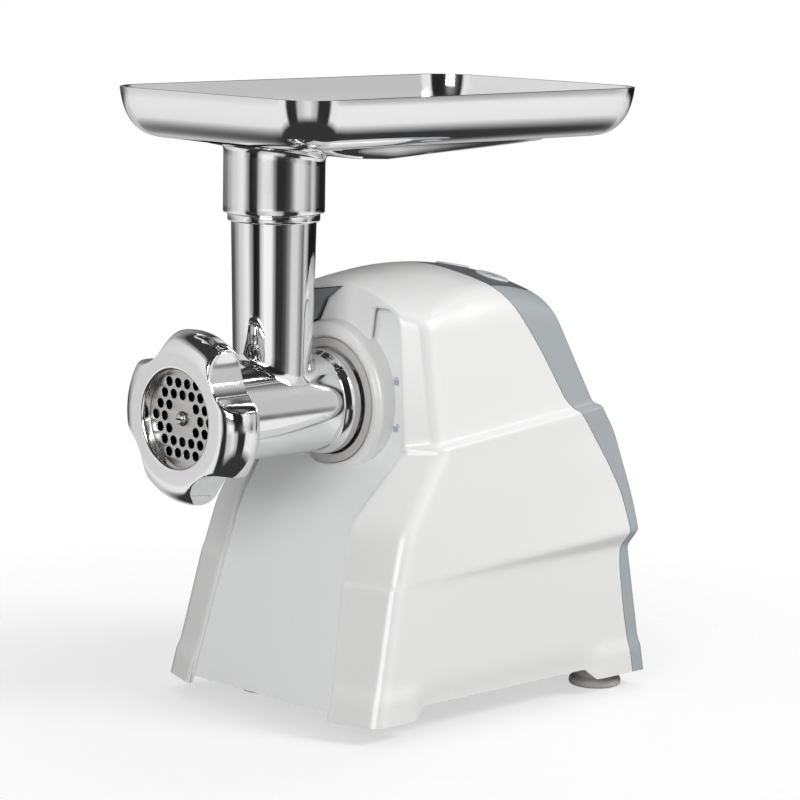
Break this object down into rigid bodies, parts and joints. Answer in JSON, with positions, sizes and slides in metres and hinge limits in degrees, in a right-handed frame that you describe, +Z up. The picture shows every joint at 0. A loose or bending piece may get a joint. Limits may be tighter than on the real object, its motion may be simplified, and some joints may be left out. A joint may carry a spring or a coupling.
{
  "type": "electric meat grinder",
  "caption": "Electric meat grinder: polished metal head with ring nut and perforated plate, hopper tray on a feed tube, and a white geared-motor base with top buttons and a head release lever.",
  "frame": {"origin": "on the table, under the middle of the object's box", "axes": "+Z up, the head and its nut point to -Y, +X to the right of a person who faces the head"},
  "size_m": [0.183, 0.3, 0.365],
  "materials": {
    "white_plastic": "glossy moulded ABS",
    "grey_plastic": "satin moulded ABS",
    "panel_white": "glossy moulded ABS",
    "dark_plastic": "satin dark ABS",
    "button_plastic": "satin light ABS",
    "smoked_plastic": "glossy smoked ABS",
    "socket_grey": "satin glass-filled nylon",
    "polished_metal": "mirror polished",
    "steel": "ground",
    "cast_auger": "tumbled",
    "nylon": "moulded nylon",
    "lamination": "stacked sheet steel",
    "copper": "enamelled copper",
    "carbon": "pressed carbon",
    "rubber": "moulded rubber",
    "circuit_board": "solder-masked board",
    "component": "moulded component bodies",
    "zinc": "zinc plated"
  },
  "bodies": {
    "base": {"base_plate": "dark_plastic", "base_screws": "zinc", "board_posts": "nylon", "brush_holders": "nylon", "button_switches": "nylon", "carbon_brushes": "carbon", "control_board": "circuit_board", "control_panel": "dark_plastic", "cord_inlet": "rubber", "field_coils": "copper", "foot_front_left": "rubber", "foot_front_right": "rubber", "foot_rear_left": "rubber", "foot_rear_right": "rubber", "foot_screws": "zinc", "front_panel": "panel_white", "gearbox_cover": "nylon", "gearbox_housing": "nylon", "gearbox_screws": "zinc", "head_socket": "white_plastic", "idler_pin": "steel", "main_housing": "white_plastic", "motor_bolts": "zinc", "motor_bracket": "lamination", "motor_cradle": "rubber", "motor_front_bearing": "steel", "motor_rear_bearing": "steel", "motor_spacers": "zinc", "output_bearing": "steel", "power_board": "circuit_board", "power_board_posts": "nylon", "power_components": "component", "rear_cover": "grey_plastic", "rear_output_bearing": "steel", "socket_liner": "socket_grey", "stator_core": "lamination"},
    "head": {"head_casting": "polished_metal", "feed_tube": "polished_metal", "grinding_plate": "steel"},
    "ring_nut": {"ring_nut": "polished_metal"},
    "tray": {"hopper_tray": "polished_metal", "tray_sleeve": "polished_metal"},
    "drive_line": {"auger": "cast_auger", "cutting_knife": "steel", "thrust_washer": "nylon", "auger_drive_square": "steel", "output_shaft": "steel", "output_gear": "nylon"},
    "idler": {"intermediate_gear": "nylon"},
    "rotor": {"motor_pinion": "nylon", "motor_shaft": "steel", "armature_core": "lamination", "armature_windings": "copper", "commutator": "copper", "cooling_fan": "nylon"},
    "on_button": {"on_button": "button_plastic"},
    "off_button": {"off_button": "button_plastic"},
    "reverse_button": {"reverse_button": "button_plastic"},
    "release_lever": {"release_lever": "smoked_plastic"}
  },
  "joints": [
    {"name": "head_twist", "type": "hinge", "parent": "base", "child": "head", "pos_m": [0, -0.032, 0.183], "axis": [0, 1, 0], "range_deg": [0, 34]},
    {"name": "tray_lift", "type": "slide", "parent": "head", "child": "tray", "axis": [0, 0, 1], "range_m": [0, 0.06]},
    {"name": "nut_turn", "type": "hinge", "parent": "head", "child": "ring_nut", "pos_m": [0, -0.14, 0.183], "axis": [0, 1, 0], "continuous": true},
    {"name": "auger_spin", "type": "hinge", "parent": "base", "child": "drive_line", "pos_m": [0, 0, 0.183], "axis": [0, 1, 0], "continuous": true},
    {"name": "idler_spin", "type": "hinge", "parent": "base", "child": "idler", "pos_m": [0, 0, 0.129], "axis": [0, 1, 0], "continuous": true},
    {"name": "rotor_spin", "type": "hinge", "parent": "base", "child": "rotor", "pos_m": [0, 0, 0.084], "axis": [0, 1, 0], "continuous": true},
    {"name": "on_button_press", "type": "slide", "parent": "base", "child": "on_button", "axis": [-0.2033, -0.1868, -0.9611], "range_m": [0, 0.0025], "stiffness_N_per_m": 600},
    {"name": "off_button_press", "type": "slide", "parent": "base", "child": "off_button", "axis": [0, -0.1908, -0.9816], "range_m": [0, 0.0025], "stiffness_N_per_m": 600},
    {"name": "reverse_button_press", "type": "slide", "parent": "base", "child": "reverse_button", "axis": [0.2033, -0.1868, -0.9611], "range_m": [0, 0.0025], "stiffness_N_per_m": 600},
    {"name": "lever_press", "type": "slide", "parent": "base", "child": "release_lever", "axis": [0, 1, 0], "range_m": [0, 0.005], "stiffness_N_per_m": 800}
  ],
  "couplings": [
    {"joint": "idler_spin", "follows": "auger_spin", "ratio": -5},
    {"joint": "rotor_spin", "follows": "auger_spin", "ratio": 25}
  ]
}
